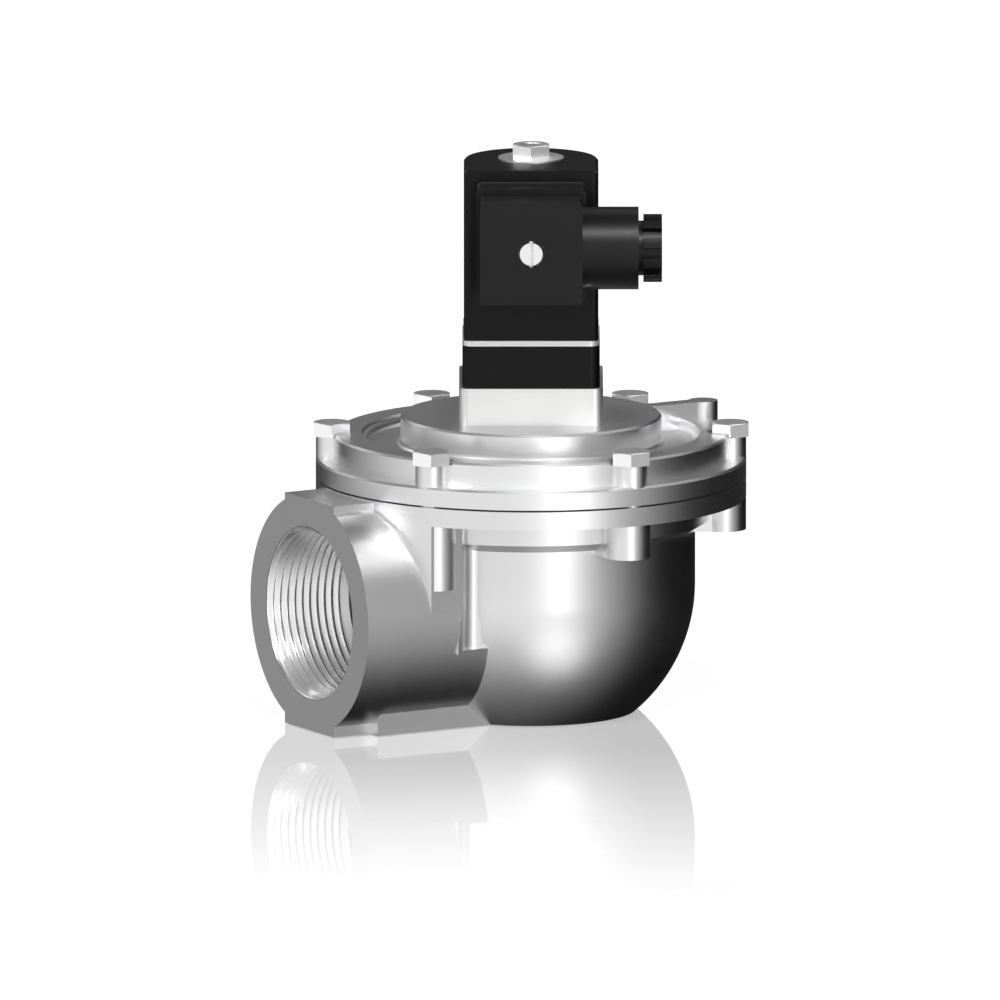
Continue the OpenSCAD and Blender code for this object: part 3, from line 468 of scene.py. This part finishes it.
# The mirror image: its gloss, and the distances over which it fades in front of the valve's middle,
# behind it and to both sides
MIRROR_IOR = 1.6
MIRROR_ROUGHNESS = 0.02
MIRROR_GAIN = 1.25
MIRROR_FRONT = (0.065, 0.4)
MIRROR_BACK = (-0.12, -0.05)
MIRROR_SIDE = (0.1, 0.16)


def combine(tree, operation, first, second=0):
    """A maths node on two values, each one a socket or a number."""
    made = tree.nodes.new("ShaderNodeMath")
    made.operation = operation
    for value, socket in zip((first, second), made.inputs):
        if isinstance(value, (int, float)):
            socket.default_value = value
        else:
            tree.links.new(value, socket)
    return made.outputs["Value"]


def facing(tree, coords, way, rise=0.0):
    """How far a place lies towards a way and a rise, or the cosine between them and a direction."""
    dot = tree.nodes.new("ShaderNodeVectorMath")
    dot.operation = "DOT_PRODUCT"
    dot.inputs[1].default_value = towards(way, rise)
    tree.links.new(coords, dot.inputs[0])
    return dot.outputs["Value"]


def mixed(tree, share, first, second):
    """Two shaders mixed by a share, which is a socket."""
    made = tree.nodes.new("ShaderNodeMixShader")
    tree.links.new(share, made.inputs["Fac"])
    tree.links.new(first, made.inputs[1])
    tree.links.new(second, made.inputs[2])
    return made.outputs["Shader"]


def white_floor(tree, coords):
    """A matt grey that shows the shadow, and a glow that brings it up to white, dimmer near the valve as a
    painted shade.
    """
    matt = tree.nodes.new("ShaderNodeBsdfDiffuse")
    grey = ramp(tree, noise(tree, coords, MATT_SCALE, MATT_DETAIL), MATT_LOW, MATT_HIGH)
    tree.links.new(grey, matt.inputs["Color"])
    length = tree.nodes.new("ShaderNodeVectorMath")
    length.operation = "LENGTH"
    tree.links.new(coords, length.inputs[0])
    # The glow is dimmer near the valve: a painted shade round it on the floor
    glow = tree.nodes.new("ShaderNodeEmission")
    tree.links.new(spread(tree, length.outputs["Value"], *GLOW_WITH_PAINTED_SHADE, at=PAINTED_SHADE_REACH), glow.inputs["Strength"])
    both = tree.nodes.new("ShaderNodeAddShader")
    tree.links.new(matt.outputs["BSDF"], both.inputs[0])
    tree.links.new(glow.outputs["Emission"], both.inputs[1])
    return both.outputs["Shader"]


def mirror_share(tree, coords):
    """How much the floor mirrors: most under the valve, and none further off."""
    fresnel = tree.nodes.new("ShaderNodeFresnel")
    fresnel.inputs["IOR"].default_value = MIRROR_IOR
    front = facing(tree, coords, FRONT_WAY)
    side = combine(tree, "ABSOLUTE", facing(tree, coords, FRONT_WAY + 90))
    share = combine(tree, "MULTIPLY", fresnel.outputs["Fac"], spread(tree, side, 1.0, 0.0, at=MIRROR_SIDE))
    ahead = combine(tree, "MULTIPLY", spread(tree, front, MIRROR_GAIN, 0.0, at=MIRROR_FRONT),
                    spread(tree, front, 0.0, 1.0, at=MIRROR_BACK))
    return combine(tree, "MULTIPLY", share, ahead)


def floor_material():
    """White to the camera, clear to the metal's reflections and dark to light that bounces off it."""
    material = bpy.data.materials.new("white_floor")
    material.use_nodes = True
    tree = material.node_tree
    tree.nodes.clear()
    coords = tree.nodes.new("ShaderNodeTexCoord").outputs["Object"]
    mirror = tree.nodes.new("ShaderNodeBsdfGlossy")
    mirror.inputs["Roughness"].default_value = MIRROR_ROUGHNESS
    mirror.inputs["Color"].default_value = (1, 1, 1, 1)
    seen = mixed(tree, mirror_share(tree, coords), white_floor(tree, coords), mirror.outputs["BSDF"])
    dark = tree.nodes.new("ShaderNodeBsdfDiffuse")
    dark.inputs["Color"].default_value = BOUNCE
    clear = tree.nodes.new("ShaderNodeBsdfTransparent")
    path = tree.nodes.new("ShaderNodeLightPath")
    unseen = mixed(tree, path.outputs["Is Glossy Ray"], dark.outputs["BSDF"], clear.outputs["BSDF"])
    out = tree.nodes.new("ShaderNodeOutputMaterial")
    tree.links.new(mixed(tree, path.outputs["Is Camera Ray"], unseen, seen), out.inputs["Surface"])
    return material


floor_data = bpy.data.meshes.new("floor")
floor_corners = [(x * FLOOR_REACH, y * FLOOR_REACH, 0) for x, y in ((-1, -1), (1, -1), (1, 1), (-1, 1))]
floor_data.from_pydata(floor_corners, [], [(0, 1, 2, 3)])
floor_data.materials.append(floor_material())
floor = bpy.data.objects.new("floor", floor_data)
floor.location = (0, 0, -FLOOR_GAP)
bpy.context.scene.collection.objects.link(floor)


# Light from a room and from softboxes

# The room is bright round this way. Fades are cosines, or heights of a direction of length one
BRIGHT_WAY = FRONT_WAY - 27
BRIGHT_FADE = (-0.42, 0.85)
# It is darker overhead and below
OVER_LEVEL = 0.4
OVER_FADE = (0.3, 0.9)
UNDER_LEVEL = 0.3
UNDER_FADE = (-0.95, -0.35)
# A low spot in the room shows in the bowl
SPOT_WAY = FRONT_WAY + 22
SPOT_RISE = -38
SPOT_LEVEL = 1.3
SPOT_FADE = (0.93, 0.995)
# A small bright strip far behind the valve keeps the floor's mirror white
STRIP_WAY = FRONT_WAY - 180
STRIP_RISE = CAMERA_RISE
STRIP_FADE = (0.9995, 0.9998)
# The softboxes look at this point
LAMP_AIM = Vector((0, 0, 0.06))
# Name, turn from the front way and rise in degrees, distance and size in metres, power in watts
SOFTBOXES = (
    ("key", 21, 5, 1.2, (0.36, 0.36), 2.3),
    ("upper", 66, 50, 1.3, (0.9, 0.4), 1.6),
    ("upper_right", 150, 50, 1.3, (0.8, 0.4), 2.4),
    ("back", -150, 35, 1.4, (0.6, 0.4), 1.8),
    ("mouth", -50, 28, 1.2, (0.3, 0.3), 2.5),
    ("front", 8, 53, 1.3, (0.2, 0.2), 12),
)


def room_level(tree, coords):
    """How bright the room is in a direction."""
    split = tree.nodes.new("ShaderNodeSeparateXYZ")
    tree.links.new(coords, split.inputs["Vector"])
    around = spread(tree, facing(tree, coords, BRIGHT_WAY), 0.0, 1.0, at=BRIGHT_FADE)
    over = spread(tree, split.outputs["Z"], 1.0, OVER_LEVEL, at=OVER_FADE)
    under = spread(tree, split.outputs["Z"], UNDER_LEVEL, 1.0, at=UNDER_FADE)
    spot = spread(tree, facing(tree, coords, SPOT_WAY, SPOT_RISE), 0.0, SPOT_LEVEL, at=SPOT_FADE)
    strip = spread(tree, facing(tree, coords, STRIP_WAY, STRIP_RISE), 0.0, 1.0, at=STRIP_FADE)
    level = combine(tree, "MULTIPLY", around, combine(tree, "MULTIPLY", over, under))
    return combine(tree, "MAXIMUM", combine(tree, "ADD", level, spot), strip)


def add_room():
    """The room that the metal shows, and plain white behind the valve for the camera."""
    made = bpy.data.worlds.new("studio")
    bpy.context.scene.world = made
    made.use_nodes = True
    tree = made.node_tree
    tree.nodes.clear()
    coords = tree.nodes.new("ShaderNodeTexCoord").outputs["Generated"]
    room = tree.nodes.new("ShaderNodeBackground")
    tree.links.new(room_level(tree, coords), room.inputs["Strength"])
    white = tree.nodes.new("ShaderNodeBackground")
    white.inputs["Strength"].default_value = 1
    for shade in (room, white):
        shade.inputs["Color"].default_value = (1, 1, 1, 1)
    path = tree.nodes.new("ShaderNodeLightPath")
    out = tree.nodes.new("ShaderNodeOutputWorld")
    both = mixed(tree, path.outputs["Is Camera Ray"], room.outputs["Background"],
                 white.outputs["Background"])
    tree.links.new(both, out.inputs["Surface"])


def add_softbox(name, turn, rise, distance, size, power):
    """An area lamp that looks at the valve. A turn above zero is to the right of the camera."""
    data = bpy.data.lights.new(name, "AREA")
    data.shape = "RECTANGLE"
    data.size, data.size_y = size
    data.energy = power
    lamp = bpy.data.objects.new(name, data)
    away = towards(FRONT_WAY + turn, rise)
    lamp.location = LAMP_AIM + away * distance
    look_back(lamp, away)
    bpy.context.scene.collection.objects.link(lamp)


add_room()
for softbox in SOFTBOXES:
    add_softbox(*softbox)

bpy.context.scene.view_settings.view_transform = "Standard"
